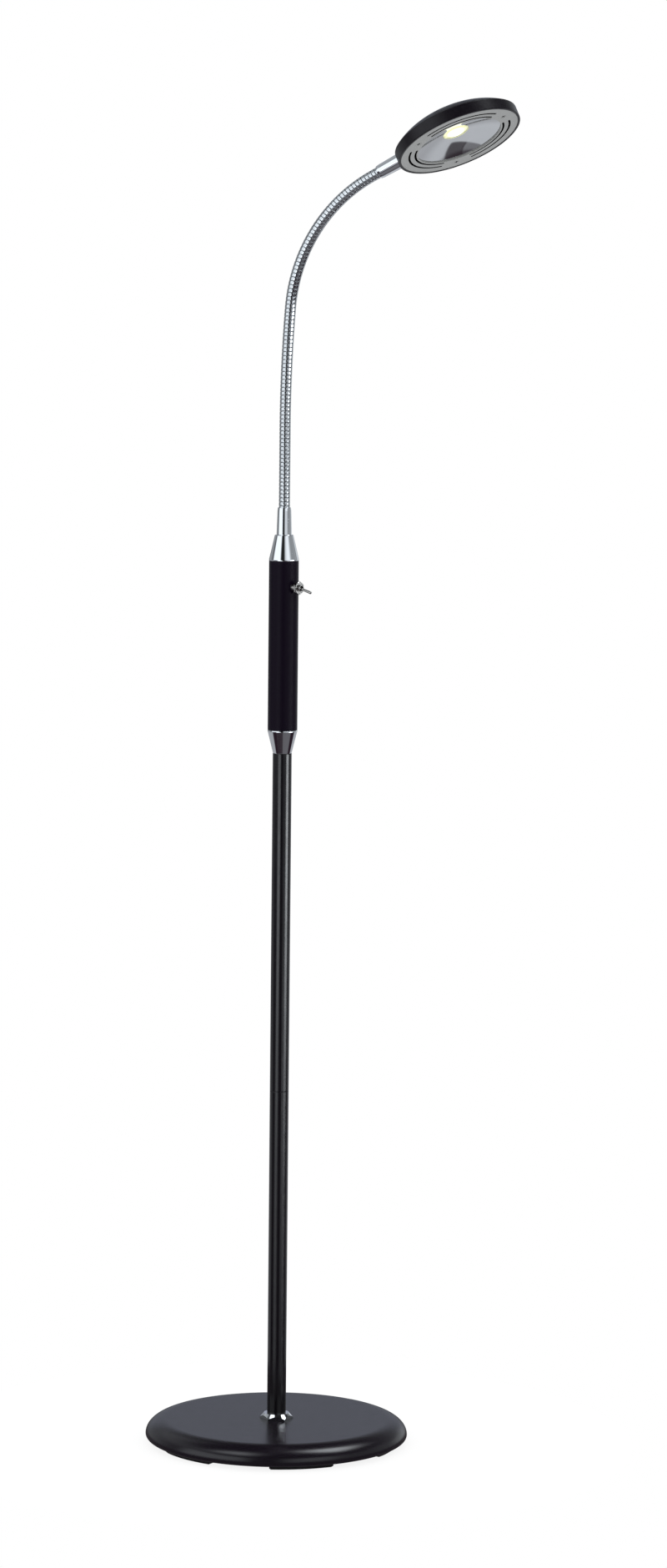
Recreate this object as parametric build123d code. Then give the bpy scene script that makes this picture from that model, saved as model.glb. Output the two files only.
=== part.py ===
from build123d import *
import os
from math import acos, cos, degrees, radians, sin, sqrt

# Gooseneck reading floor lamp. Millimetres, +Z up.
# The origin is the centre of the base plate's underside, on the pole's axis. The feet
# reach below it. The neck bends in the XZ plane, towards +X.

# ---------------------------------------------------------------- fits and clearances
slip_fit = 0.05  # radial, a spigot or plug in its tube
thread_fit = 0.05  # radial, a thread drawn plain in its nut or bore
free_fit = 0.3  # radial, a screw or lever that passes through with room
screw_head_edge = 0.2  # straight rim of a countersunk head

# ---------------------------------------------------------------- base
base_radius = 125.0
base_top_radius = 105.0  # flat part of the cover
base_lip_radius = 118.5  # tucked-in lower edge of the cover
base_lip_width = 1.5  # of the rolled edge round the plate
base_height = 18.7  # flat top above the plate's underside
base_widest_height = 4.0
cover_wall = 1.6
plate_thickness = 1.2
plate_emboss = 0.6  # the plate's rim lies this much lower than its middle panel
plate_panel_radius = 101.0
plate_gap = 0.2  # round the plate, inside the cover's lip
foot_height = 4.0  # from the floor up to the plate's middle panel
foot_count = 6
foot_outer_radius = 117.0
foot_radial_width = 14.0
foot_span = 62.5  # along its outer edge
foot_turn = 2.7  # degrees, of the first foot from +X
foot_bevel = 1.4
weight_side_gap = 13.0  # inside the cover's widest radius
weight_top_reach = 1.0  # past the cover's flat top
weight_chamfer_height = 6.0
weight_top_gap = 0.3  # under the cover's top
nut_pocket_radius = 17.0
nut_pocket_depth = 8.5
stud_tail = 1.0  # of the stud past the lock nut
plate_screw_count = 4
plate_screw_circle = 86.0  # radius of the circle of screws
plate_screw_radius = 2.0
plate_screw_length = 8.0
plate_screw_head_radius = 3.4
plate_screw_recess = 0.15  # head below the plate's face
gland_circle = 60.0  # from the axis, towards the back
gland_radius = 5.0
gland_flange_radius = 7.5
gland_bore_radius = 1.9
gland_flange = 1.0
gland_recess = 0.15  # above the plate's face
lead_channel_width = 8.0
lead_channel_depth = 6.0

# ---------------------------------------------------------------- pole
pole_radius = 9.0
pole_wall = 1.2
pole_lower_length = 317.3
pole_upper_length = 322.6
bush_length = 20.0
coupler_length = 44.0
coupler_bore_radius = 4.0
stud_radius = 5.0  # hollow threaded stud, also the nipple under the handle
stud_bore_radius = 2.6
stud_reach = 16.0  # into the pole's bush
collar_flats = 27.5  # hexagonal collar round the foot of the pole
collar_height = 5.4
collar_chamfer = 0.8
collar_turn = 20.0  # degrees about Z, of one corner from +X
lock_nut_flats = 17.0
lock_nut_height = 5.0
lock_washer_radius = 11.0
lock_washer_thickness = 1.5

# ---------------------------------------------------------------- handle
handle_radius = 14.0
handle_wall = 1.5
handle_length = 160.0
cone_land = 1.2  # short cylinder at a cone's wide end
lower_cone_length = 22.1
upper_cone_length = 24.0
lower_cone_small_radius = 8.8
upper_cone_small_radius = 8.75
cone_spigot_length = 8.0
nipple_reach = 11.0  # into what a nipple holds together
neck_nipple_radius = 4.0
neck_nipple_bore_radius = 2.2

# ---------------------------------------------------------------- toggle switch
switch_drop = 10.2  # of the switch's body below the upper cone's spigot
switch_heading = -25.0  # degrees about Z from +X
bushing_radius = 3.0
bushing_bore_radius = 2.3
bushing_reach = 10.0  # past the handle's face
bushing_dome = 0.7
sleeve_radius = 4.35
sleeve_length = 5.5
switch_nut_flats = 11.4
switch_nut_height = 2.0
switch_body_depth = 9.0
switch_body_width = 8.0
switch_body_height = 13.0
lever_radius = 1.15
lever_tip_radius = 1.35
lever_length = 16.0  # from its pivot
lever_ball_radius = 2.0
lever_pivot_depth = 2.6  # inside the bushing's mouth
lever_tail_length = 4.6
lever_tail_radius = 0.8
lever_tilt = 13.0  # degrees below level
terminal_pitch = 4.7
terminal_width = 2.0
terminal_thickness = 0.8
terminal_length = 4.5

# ---------------------------------------------------------------- gooseneck
ferrule_length = 25.8
ferrule_wide_radius = 7.15
ferrule_waist_radius = 6.85
ferrule_mouth_radius = 6.3
ferrule_foot_height = 3.0
ferrule_shoulder_height = 3.2
neck_ridge_radius = 5.25
neck_groove_radius = 4.65
neck_pitch = 3.7
turns_per_link = 10
turns_at_each_end = 7
moving_links = 8
neck_bore_radius = 2.2
neck_spigot_radius = 4.5
neck_spigot_length = 11.0
knuckle_radius = 6.0
knuckle_gap = 0.25
neck_straight = 75.6  # upright stretch above the lower ferrule
lean_radius = 1450.0
lean_angle = 4.4
bend_radius = 154.5
bend_angle = 57.2

# ---------------------------------------------------------------- head
ferrule_sink = 1.6  # of the upper ferrule into the shell's edge
head_drop = 12.0  # from the neck's axis to the shell's rim
head_roll = 13.3  # degrees about the neck's axis
shell_radius = 59.8
shell_band_height = 10.4  # straight side, from the rim up to the dome
shell_dome_rise = 15.8
shell_crown_radius = 15.0  # flat middle of the dome
shell_wall = 2.0
shell_ledge = 2.0  # width of the step that the bezel lies on
shell_ledge_thickness = 2.2
shell_lip = 2.25  # width of the rim round the bezel
bezel_gap = 0.15
bezel_thickness = 1.5
bezel_recess = 0.4
bezel_width = 16.6
slot_insets = (8.1, 14.1)  # from the bezel's edge to the middle of each slot
slot_width = 2.0
slot_half_span = 42.0  # degrees
bezel_screw_count = 3
bezel_screw_inset = 9.4  # from the bezel's edge
bezel_screw_radius = 1.5
bezel_screw_head_radius = 2.7
bezel_screw_length = 8.0
screw_post_radius = 3.4
boss_radius = 8.5
boss_length = 18.2
head_nut_flats = 12.0
head_nut_height = 3.5
reflector_flange = 1.2  # width behind the bezel
reflector_wall = 1.0
reflector_throat_radius = 12.6
reflector_depth = 7.8
board_radius = 14.5
board_thickness = 1.6
emitter_radius = 9.5
emitter_thickness = 1.0
lens_radius = 8.5
lens_height = 2.4
sink_radius = 20.0
sink_base = 2.5
sink_gap = 0.5  # between the fins and the crown
fin_thickness = 1.6
fin_pitch = 4.4
sink_post_radius = 4.0
board_screw_circle = 11.05
board_screw_count = 2
board_screw_radius = 1.0
board_screw_head_radius = 1.4
board_screw_head_height = 1.0
board_screw_length = 3.2

# ---------------------------------------------------------------- levels worked out
plate_top = plate_thickness
plate_rim = -plate_emboss  # underside of the plate's rim and of the cover's lip
foot_bottom = -foot_height
pole_foot = base_height
pole_seam = pole_foot + pole_lower_length
pole_top = pole_seam + pole_upper_length
handle_foot = pole_top + lower_cone_length
handle_top = handle_foot + handle_length
ferrule_foot = handle_top + upper_cone_length
neck_foot = ferrule_foot + ferrule_length
switch_level = handle_top - cone_spigot_length - switch_drop - switch_body_height / 2
tube_bore = pole_radius - pole_wall
handle_bore = handle_radius - handle_wall
base_ceiling = base_height - cover_wall
pocket_ceiling = plate_top + nut_pocket_depth
lock_nut_top = pocket_ceiling - lock_washer_thickness
stud_bottom = lock_nut_top - lock_nut_height - stud_tail
link_length = turns_per_link * neck_pitch
end_length = turns_at_each_end * neck_pitch
neck_length = moving_links * link_length + 2 * end_length
joint_stations = [end_length + i * link_length for i in range(moving_links + 1)]
head_height = shell_band_height + shell_dome_rise
bezel_seat = bezel_recess + bezel_thickness
reflector_throat = bezel_seat + reflector_depth
board_face = reflector_throat + reflector_wall
board_back = board_face + board_thickness
crown_ceiling = head_height - shell_wall
ferrule_seat = shell_radius - ferrule_sink  # from the head's axis to its boss's face
bezel_radius = shell_radius - shell_lip - bezel_gap
bezel_opening_radius = bezel_radius - bezel_width
bezel_screw_circle = bezel_radius - bezel_screw_inset
bushing_mouth = handle_radius + bushing_reach
sleeve_top = handle_radius + sleeve_length
body_face = sqrt(handle_bore**2 - (switch_body_width / 2) ** 2) - free_fit
lever_pivot = bushing_mouth - lever_pivot_depth


# ---------------------------------------------------------------- shapes used often
def spin(*edges):
    """A solid of revolution about Z. The edges lie in a plane of radius and height."""
    return revolve(Plane.XZ * make_face(Curve() + list(edges)), Axis.Z)


def bow(centre, reach, rise, start=0.0, end=90.0):
    """Part of an upright ellipse, by the angles of its parameter."""
    return EllipticalCenterArc(centre, reach, rise, start, arc_size=end - start)


def revolved(*corners):
    """A solid of revolution about Z from (radius, height) corners."""
    return spin(Polyline(*corners, close=True))


def rod(radius, low, high):
    """A round bar on the Z axis."""
    return Pos(0, 0, low) * Cylinder(radius, high - low, align=(Align.CENTER, Align.CENTER, Align.MIN))


def tube(outer, inner, low, high):
    """A plain ring or tube on the Z axis."""
    return revolved((inner, low), (outer, low), (outer, high), (inner, high))


def hexagon(flats, low, high, turn=0.0, chamfer_size=0.0):
    """A hexagonal prism on the Z axis with a corner on +X, its top corners turned off."""
    corner = flats / sqrt(3)
    prism = extrude(Pos(0, 0, low) * RegularPolygon(corner, 6, rotation=turn), high - low)
    if chamfer_size:
        prism &= revolved(
            (0, low), (corner, low), (corner, high - chamfer_size / 2), (corner - chamfer_size, high), (0, high)
        )
    return prism


def countersunk(head_radius, head_edge, shank_radius, low, length, room=0.0):
    """A countersunk screw on the Z axis, head down. With room it is the screw's hole."""
    taper = head_radius - shank_radius
    mouth = low - length if room else low
    return revolved(
        (0, mouth),
        (head_radius + room, mouth),
        (head_radius + room, low + head_edge),
        (shank_radius + room, low + head_edge + taper),
        (shank_radius + room, low + length + room),
        (0, low + length + room),
    )


def around(count, radius, piece, start=0.0):
    """Copies of a piece, evenly spaced on a circle about the Z axis."""
    return [Rot(0, 0, start + i * 360 / count) * Pos(radius, 0, 0) * piece for i in range(count)]


def group(pieces):
    """Separate solids that share one node."""
    return Compound(children=list(pieces))


# ---------------------------------------------------------------- base
def make_base_cover():
    """Pressed steel skin: flat top, elliptical shoulder and an edge rolled in underneath."""
    lip_inner = base_lip_radius - base_lip_width
    hole = stud_radius + free_fit
    reach, rise = base_radius - base_top_radius, base_height - base_widest_height
    tuck, drop = base_radius - base_lip_radius, base_widest_height - plate_rim
    shoulder_centre = (base_top_radius, base_widest_height)
    lip_centre = (base_lip_radius, base_widest_height)
    return spin(
        Line((hole, base_height), (base_top_radius, base_height)),
        bow(shoulder_centre, reach, rise),
        bow(lip_centre, tuck, drop, -90, 0),
        Polyline(
            (base_lip_radius, plate_rim),
            (lip_inner, plate_rim),
            (lip_inner, plate_rim + cover_wall),
            (base_lip_radius, plate_rim + cover_wall),
        ),
        bow(lip_centre, tuck - cover_wall, drop - cover_wall, -90, 0),
        bow(shoulder_centre, reach - cover_wall, rise - cover_wall),
        Line((base_top_radius, base_ceiling), (hole, base_ceiling)),
        Line((hole, base_ceiling), (hole, base_height)),
    )


def plate_screws(room=0.0):
    screw = countersunk(
        plate_screw_head_radius, screw_head_edge, plate_screw_radius, plate_screw_recess, plate_screw_length, room
    )
    return around(plate_screw_count, plate_screw_circle, screw, start=180 / plate_screw_count)


def make_base_weight():
    """Cast iron disc with a pocket for the lock nut and a channel for the lead."""
    top = base_ceiling - weight_top_gap
    side = base_radius - weight_side_gap
    disc = revolved(
        (stud_radius + free_fit, pocket_ceiling),
        (nut_pocket_radius, pocket_ceiling),
        (nut_pocket_radius, plate_top),
        (side, plate_top),
        (side, top - weight_chamfer_height),
        (min(side, base_top_radius + weight_top_reach), top),
        (stud_radius + free_fit, top),
    )
    channel = Pos(0, 0, plate_top) * Box(
        lead_channel_width, gland_circle, lead_channel_depth, align=(Align.CENTER, Align.MIN, Align.MIN)
    )
    gland_room = rod(gland_flange_radius + free_fit, plate_top, plate_top + lead_channel_depth)
    return disc - channel - Pos(0, gland_circle, 0) * gland_room - plate_screws(room=thread_fit)


def make_base_plate():
    """Thin cover underneath, its middle panel pressed up a little inside the rim."""
    rim = base_lip_radius - base_lip_width - plate_gap
    hole = gland_radius + slip_fit
    plate = revolved(
        (0, 0),
        (plate_panel_radius, 0),
        (plate_panel_radius, plate_rim),
        (rim, plate_rim),
        (rim, plate_rim + plate_thickness),
        (plate_panel_radius - plate_thickness, plate_rim + plate_thickness),
        (plate_panel_radius - plate_thickness, plate_top),
        (0, plate_top),
    )
    return plate - plate_screws(room=slip_fit) - Pos(0, gland_circle, 0) * rod(hole, -1, plate_top + 1)


def make_base_foot():
    """One wide low pad on +X that follows the rim, bevelled where it meets the floor."""
    inner = foot_outer_radius - foot_radial_width
    span = degrees(foot_span / foot_outer_radius)
    profile = make_face(
        Polyline(
            (inner, foot_bottom),
            (foot_outer_radius, foot_bottom),
            (foot_outer_radius, plate_rim),
            (inner, plate_rim),
            close=True,
        )
    )
    pad = Rot(0, 0, -span / 2) * revolve(Plane.XZ * profile, Axis.Z, revolution_arc=span)
    return chamfer(pad.edges().group_by(Axis.Z)[0], foot_bevel)


def make_lead_gland():
    """Snap-in bush for the supply lead, flush with the plate."""
    return Pos(0, gland_circle, 0) * revolved(
        (gland_bore_radius, gland_recess),
        (gland_radius, gland_recess),
        (gland_radius, plate_top),
        (gland_flange_radius, plate_top),
        (gland_flange_radius, plate_top + gland_flange),
        (gland_bore_radius, plate_top + gland_flange),
    )


def make_base():
    lock_nut = hexagon(lock_nut_flats, lock_nut_top - lock_nut_height, lock_nut_top)
    collar = hexagon(collar_flats, base_height, base_height + collar_height, collar_turn, collar_chamfer)
    return {
        "base_cover": make_base_cover(),
        "base_weight": make_base_weight(),
        "base_bottom_plate": make_base_plate(),
        "base_plate_screws": group(plate_screws()),
        "base_feet": group(around(foot_count, 0, make_base_foot(), start=foot_turn)),
        "lead_gland": make_lead_gland(),
        "base_lock_nut": lock_nut - rod(stud_radius + thread_fit, 0, base_height),
        "base_lock_washer": tube(lock_washer_radius, stud_radius + free_fit, lock_nut_top, pocket_ceiling),
        "pole_collar": collar - rod(pole_radius + slip_fit, 0, base_height + 2 * collar_height),
    }


# ---------------------------------------------------------------- pole
def pole_plug(bore, low, high):
    """A turned plug pressed into a tube of the pole."""
    return tube(tube_bore - slip_fit, bore, low, high)


def make_pole():
    bush_bore = stud_radius + thread_fit
    half = coupler_length / 2
    return {
        "pole_stud": tube(stud_radius, stud_bore_radius, stud_bottom, pole_foot + stud_reach),
        "pole_foot_bush": pole_plug(bush_bore, pole_foot, pole_foot + bush_length),
        "lower_pole_tube": tube(pole_radius, tube_bore, pole_foot, pole_seam),
        "pole_coupler": pole_plug(coupler_bore_radius, pole_seam - half, pole_seam + half),
        "upper_pole_tube": tube(pole_radius, tube_bore, pole_seam, pole_top),
        "pole_top_bush": pole_plug(bush_bore, pole_top - bush_length, pole_top),
        "handle_nipple": tube(stud_radius, stud_bore_radius, pole_top - nipple_reach, pole_top + nipple_reach),
    }


# ---------------------------------------------------------------- handle
def cone(small_radius, length, bore_radius):
    """An end cone of the handle on Z: small end at 0, wide end up, spigot beyond it."""
    spigot = handle_bore - slip_fit
    return revolved(
        (bore_radius, 0),
        (small_radius, 0),
        (handle_radius, length - cone_land),
        (handle_radius, length),
        (spigot, length),
        (spigot, length + cone_spigot_length),
        (bore_radius, length + cone_spigot_length),
    )


def switch_place():
    """Plane on the handle's axis: local Z points out along the switch, local X up."""
    heading = radians(switch_heading)
    return Plane((0, 0, switch_level), x_dir=(0, 0, 1), z_dir=(cos(heading), sin(heading), 0))


def make_handle():
    switch_hole = rod(bushing_radius + slip_fit, 0, 2 * handle_radius)
    lower_cone = cone(lower_cone_small_radius, lower_cone_length, stud_radius + thread_fit)
    upper_cone = cone(upper_cone_small_radius, upper_cone_length, neck_nipple_radius + thread_fit)
    return {
        "lower_cone": Pos(0, 0, pole_top) * lower_cone,
        "handle_tube": tube(handle_radius, handle_bore, handle_foot, handle_top) - switch_place() * switch_hole,
        "upper_cone": Pos(0, 0, ferrule_foot) * Rot(180, 0, 0) * upper_cone,
    }


# ---------------------------------------------------------------- toggle switch
def make_lever():
    """Bat lever on its ball, along Z from the ball's centre."""
    ball = Sphere(lever_ball_radius)
    tail = rod(lever_tail_radius, -lever_tail_length, 0)
    bat = spin(
        Polyline(
            (lever_tip_radius, lever_length - lever_tip_radius),
            (lever_radius, lever_pivot_depth),
            (lever_radius, 0),
            (0, 0),
            (0, lever_length),
        ),
        CenterArc((0, lever_length - lever_tip_radius), lever_tip_radius, 0, 90),
    )
    return ball + tail + bat


def make_switch():
    thread_bore = bushing_radius + thread_fit
    handle_skin = Rot(0, 90, 0) * Cylinder(handle_radius, 4 * handle_radius)
    sleeve = tube(sleeve_radius, thread_bore, handle_bore, sleeve_top) - handle_skin
    nut = hexagon(switch_nut_flats, sleeve_top, sleeve_top + switch_nut_height, chamfer_size=bushing_dome)
    bushing = revolved(
        (bushing_bore_radius, body_face),
        (bushing_radius, body_face),
        (bushing_radius, bushing_mouth - bushing_dome),
        (bushing_radius - bushing_dome / 2, bushing_mouth),
        (bushing_bore_radius, bushing_mouth),
    )
    body = Pos(0, 0, body_face) * Box(
        switch_body_height, switch_body_width, switch_body_depth, align=(Align.CENTER, Align.CENTER, Align.MAX)
    )
    terminal = Pos(0, 0, body_face - switch_body_depth) * Box(
        terminal_thickness, terminal_width, terminal_length, align=(Align.CENTER, Align.CENTER, Align.MAX)
    )
    pieces = {
        "switch_body": body,
        "switch_terminals": group(Pos(i * terminal_pitch, 0, 0) * terminal for i in (-1, 0, 1)),
        "switch_bushing": bushing,
        "switch_sleeve": sleeve,
        "switch_nut": nut - rod(thread_bore, 0, bushing_mouth),
        "switch_lever": Pos(0, 0, lever_pivot) * Rot(0, -lever_tilt, 0) * make_lever(),
    }
    return {name: switch_place() * piece for name, piece in pieces.items()}


# ---------------------------------------------------------------- gooseneck
def neck_place(station):
    """Plane square to the neck's centreline, station mm along it from the lower ferrule.
    Its Z runs along the neck, its X lies in the plane in which the neck bends."""
    x, z, heading = 0.0, float(neck_foot), 0.0
    rest = station
    for length, radius in (
        (neck_straight, None),
        (lean_radius * radians(lean_angle), lean_radius),
        (bend_radius * radians(bend_angle), bend_radius),
        (neck_length, None),
    ):
        run = min(rest, length)
        rest -= run
        if radius is None:
            x, z = x + run * sin(heading), z + run * cos(heading)
        else:
            end = heading + run / radius
            x, z = x + radius * (cos(heading) - cos(end)), z + radius * (sin(end) - sin(heading))
            heading = end
    return Plane((x, 0, z), x_dir=(cos(heading), 0, -sin(heading)), z_dir=(sin(heading), 0, cos(heading)))


def ribs(first, last):
    """Ribbed stretch of the neck between two stations: a cone up and a cone down a turn."""
    steps = round(2 * (last - first) / neck_pitch)
    stations = [first + i * neck_pitch / 2 for i in range(steps + 1)]
    half_turn = [round(2 * s / neck_pitch) for s in stations]
    radii = [neck_ridge_radius if n % 2 else neck_groove_radius for n in half_turn]
    return loft([neck_place(s) * Circle(r) for s, r in zip(stations, radii)], ruled=True)


def bore(first, last):
    """The lead's way through a stretch of the neck."""
    middle = (first + last) / 2
    sections = [neck_place(s) * Circle(neck_bore_radius) for s in (first, middle, last)]
    return loft(sections, ruled=True)


def knuckle(station, radius):
    return Pos(*neck_place(station).origin) * Sphere(radius)


def neck_stretch(first, last, socket, ball):
    """A length of neck, with a hollow seat at its first joint and a round end at its last."""
    overrun = 2 * neck_pitch
    solid = ribs(first, last)
    if ball:
        solid += ribs(last, last + overrun) & knuckle(last, knuckle_radius)
    if socket:
        solid -= knuckle(first, knuckle_radius + knuckle_gap)
    return solid


def make_neck():
    """Fixed roots in the two ferrules and the links between them, each bored for the lead."""
    first, last = joint_stations[0], joint_stations[-1]
    lower_spigot = Pos(0, 0, neck_foot) * rod(neck_spigot_radius, -neck_spigot_length, 0)
    upper_spigot = neck_place(neck_length) * rod(neck_spigot_radius, 0, neck_spigot_length)
    past = 3 * neck_pitch
    nodes = {"neck_root": neck_stretch(0, first, False, True) + lower_spigot}
    nodes["neck_root"] -= bore(-neck_spigot_length - past, first + past)
    for i in range(moving_links):
        low, high = joint_stations[i], joint_stations[i + 1]
        nodes[f"neck_link_{i + 1}"] = neck_stretch(low, high, True, True) - bore(low, high + past)
    nodes["neck_tip"] = neck_stretch(last, neck_length, True, False) + upper_spigot
    nodes["neck_tip"] -= bore(last, neck_length + neck_spigot_length + past)
    return nodes


def make_ferrule():
    """Turned end piece on Z: wide foot at 0, mouth for the neck at the top."""
    shoulder = ferrule_length - ferrule_shoulder_height
    nipple_bore = neck_nipple_radius + thread_fit
    neck_bore = neck_spigot_radius + slip_fit
    step = nipple_reach + free_fit
    rounding = ferrule_waist_radius - ferrule_mouth_radius
    return spin(
        Polyline(
            (ferrule_waist_radius, shoulder),
            (ferrule_waist_radius, ferrule_foot_height + rounding),
            (ferrule_wide_radius, ferrule_foot_height),
            (ferrule_wide_radius, 0),
            (nipple_bore, 0),
            (nipple_bore, step),
            (neck_bore, step),
            (neck_bore, ferrule_length),
            (ferrule_mouth_radius, ferrule_length),
        ),
        bow((ferrule_mouth_radius, shoulder), rounding, ferrule_shoulder_height),
    )


def make_ferrules():
    end = neck_place(neck_length)
    nipple = tube(neck_nipple_radius, neck_nipple_bore_radius, -nipple_reach, nipple_reach)
    return {
        "neck_lower_nipple": Pos(0, 0, ferrule_foot) * nipple,
        "neck_lower_ferrule": Pos(0, 0, ferrule_foot) * make_ferrule(),
        "neck_upper_ferrule": end * Pos(0, 0, ferrule_length) * Rot(180, 0, 0) * make_ferrule(),
    }


# ---------------------------------------------------------------- head
def head_place():
    """Plane on the shell's rim: Z points up into the shell, X away from the neck."""
    end = neck_place(neck_length)
    along, in_plane, side = end.z_dir, end.x_dir, Vector(0, -1, 0)
    roll = radians(head_roll)
    face = in_plane * cos(roll) + side * sin(roll)  # the way the lamp shines
    reach = ferrule_length + ferrule_seat
    return Plane(end.origin + along * reach + face * head_drop, x_dir=along, z_dir=-face)


def make_shell():
    """Straight-sided dome with a ledge for the bezel, screw posts and a boss for the ferrule."""
    reach = shell_radius - shell_crown_radius
    bend = (reach**2 + shell_dome_rise**2) / (2 * shell_dome_rise)
    centre = (shell_crown_radius, head_height - bend)
    inner_side = shell_radius - shell_wall
    inner_bend = bend - shell_wall
    start = degrees(acos(reach / bend))
    inner_start = degrees(acos((reach - shell_wall) / inner_bend))
    meeting = centre[1] + inner_bend * sin(radians(inner_start))
    rebate = bezel_radius + bezel_gap
    ledge = rebate - shell_ledge
    ledge_top = bezel_seat + shell_ledge_thickness
    dome_edges = (
        Line((0, head_height), (shell_crown_radius, head_height)),
        CenterArc(centre, bend, start, 90 - start),
    )
    skin = spin(
        *dome_edges,
        Polyline(
            (shell_radius, shell_band_height),
            (shell_radius, 0),
            (rebate, 0),
            (rebate, bezel_seat),
            (ledge, bezel_seat),
            (ledge, ledge_top),
            (inner_side, ledge_top),
            (inner_side, meeting),
        ),
        CenterArc(centre, inner_bend, inner_start, 90 - inner_start),
        Polyline((shell_crown_radius, crown_ceiling), (0, crown_ceiling), (0, head_height)),
    )
    form = spin(
        *dome_edges,
        Polyline((shell_radius, shell_band_height), (shell_radius, 0), (0, 0), (0, head_height)),
    )
    posts = around(bezel_screw_count, bezel_screw_circle, rod(screw_post_radius, bezel_seat, head_height))
    boss_axis = Pos(-ferrule_seat, 0, head_drop) * Rot(0, 90, 0)
    boss = boss_axis * rod(boss_radius, 0, boss_length)
    nipple_hole = boss_axis * rod(neck_nipple_radius + thread_fit, -1, ferrule_seat)
    shell = skin + [post & form for post in posts] + boss
    seat = boss_axis * rod(ferrule_wide_radius + free_fit, -ferrule_length, 0)
    return shell - nipple_hole - seat - bezel_screws(room=thread_fit)


def bezel_screws(room=0.0):
    screw = countersunk(
        bezel_screw_head_radius, screw_head_edge, bezel_screw_radius, bezel_recess, bezel_screw_length, room
    )
    return around(bezel_screw_count, bezel_screw_circle, screw)


def make_bezel():
    """Flat ring with a pair of curved air slots between each two screws."""
    ring = tube(bezel_radius, bezel_opening_radius, bezel_recess, bezel_seat)
    arcs = [
        CenterArc((0, 0), bezel_radius - inset, -slot_half_span, 2 * slot_half_span) for inset in slot_insets
    ]
    pair = extrude(Sketch() + [SlotArc(arc, slot_width) for arc in arcs], head_height)
    return ring - around(bezel_screw_count, 0, pair, start=180 / bezel_screw_count) - bezel_screws(room=slip_fit)


def make_reflector():
    """Spun dish that narrows to the light source, with a flange behind the bezel."""
    flange_top = bezel_seat + reflector_wall
    mouth, throat = bezel_opening_radius, reflector_throat_radius
    return revolved(
        (mouth, bezel_seat),
        (mouth + reflector_flange, bezel_seat),
        (mouth + reflector_flange, flange_top),
        (mouth, flange_top),
        (throat, board_face),
        (throat, reflector_throat),
    )


def make_heat_sink():
    """Aluminium disc behind the board with straight fins and a post up to the crown."""
    fin_top = crown_ceiling - sink_gap
    base = rod(sink_radius, board_back, board_back + sink_base)
    fin_count = int(2 * sink_radius / fin_pitch)
    fins = []
    for i in range(fin_count):
        offset = (i - (fin_count - 1) / 2) * fin_pitch
        fin = Pos(0, offset, board_back) * Box(
            2 * sink_radius, fin_thickness, fin_top - board_back, align=(Align.CENTER, Align.CENTER, Align.MIN)
        )
        fins.append(fin & rod(sink_radius, board_back, fin_top))
    screw_holes = around(board_screw_count, board_screw_circle, board_screw(thread_fit))
    return base + fins + rod(sink_post_radius, board_back, crown_ceiling) - screw_holes


def board_screw(room=0.0):
    head_bottom = board_face - board_screw_head_height
    return revolved(
        (0, head_bottom),
        (board_screw_head_radius, head_bottom),
        (board_screw_head_radius, board_face),
        (board_screw_radius + room, board_face),
        (board_screw_radius + room, board_face + board_screw_length + room),
        (0, board_face + board_screw_length + room),
    )


def make_head():
    emitter_face = board_face - emitter_thickness
    lens_ball = (lens_radius**2 + lens_height**2) / (2 * lens_height)
    lens_centre = Pos(0, 0, emitter_face - lens_height + lens_ball)
    lens = lens_centre * Sphere(lens_ball) & rod(lens_radius, 0, emitter_face)
    screw = board_screw()
    nipple_axis = Pos(-ferrule_seat, 0, head_drop) * Rot(0, 90, 0)
    nut = hexagon(head_nut_flats, boss_length, boss_length + head_nut_height, turn=30)
    nipple_end = boss_length + head_nut_height + free_fit
    pieces = {
        "head_nipple": nipple_axis * tube(neck_nipple_radius, neck_nipple_bore_radius, -nipple_reach, nipple_end),
        "head_lock_nut": nipple_axis * (nut - rod(neck_nipple_radius + thread_fit, 0, ferrule_seat)),
        "head_shell": make_shell(),
        "bezel_plate": make_bezel(),
        "bezel_screws": group(bezel_screws()),
        "reflector": make_reflector(),
        "led_board": rod(board_radius, board_face, board_back)
        - around(board_screw_count, board_screw_circle, board_screw(slip_fit)),
        "led_emitter": rod(emitter_radius, emitter_face, board_face),
        "led_lens": lens,
        "board_screws": group(around(board_screw_count, board_screw_circle, screw)),
        "heat_sink": make_heat_sink(),
    }
    return {name: head_place() * piece for name, piece in pieces.items()}


# ---------------------------------------------------------------- the whole lamp
def make_lamp():
    lamp = {}
    for section in (make_base, make_pole, make_handle, make_switch, make_neck, make_ferrules, make_head):
        lamp.update(section())
    return lamp


os.makedirs("parts", exist_ok=True)
for node, shape in make_lamp().items():
    export_step(shape, f"parts/{node}.step")
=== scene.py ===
from math import acos, atan2, cos, degrees, pi, radians, sin, tan

import bmesh
import bpy
from mathutils import Matrix, Vector
from mathutils.geometry import delaunay_2d_cdt


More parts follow.
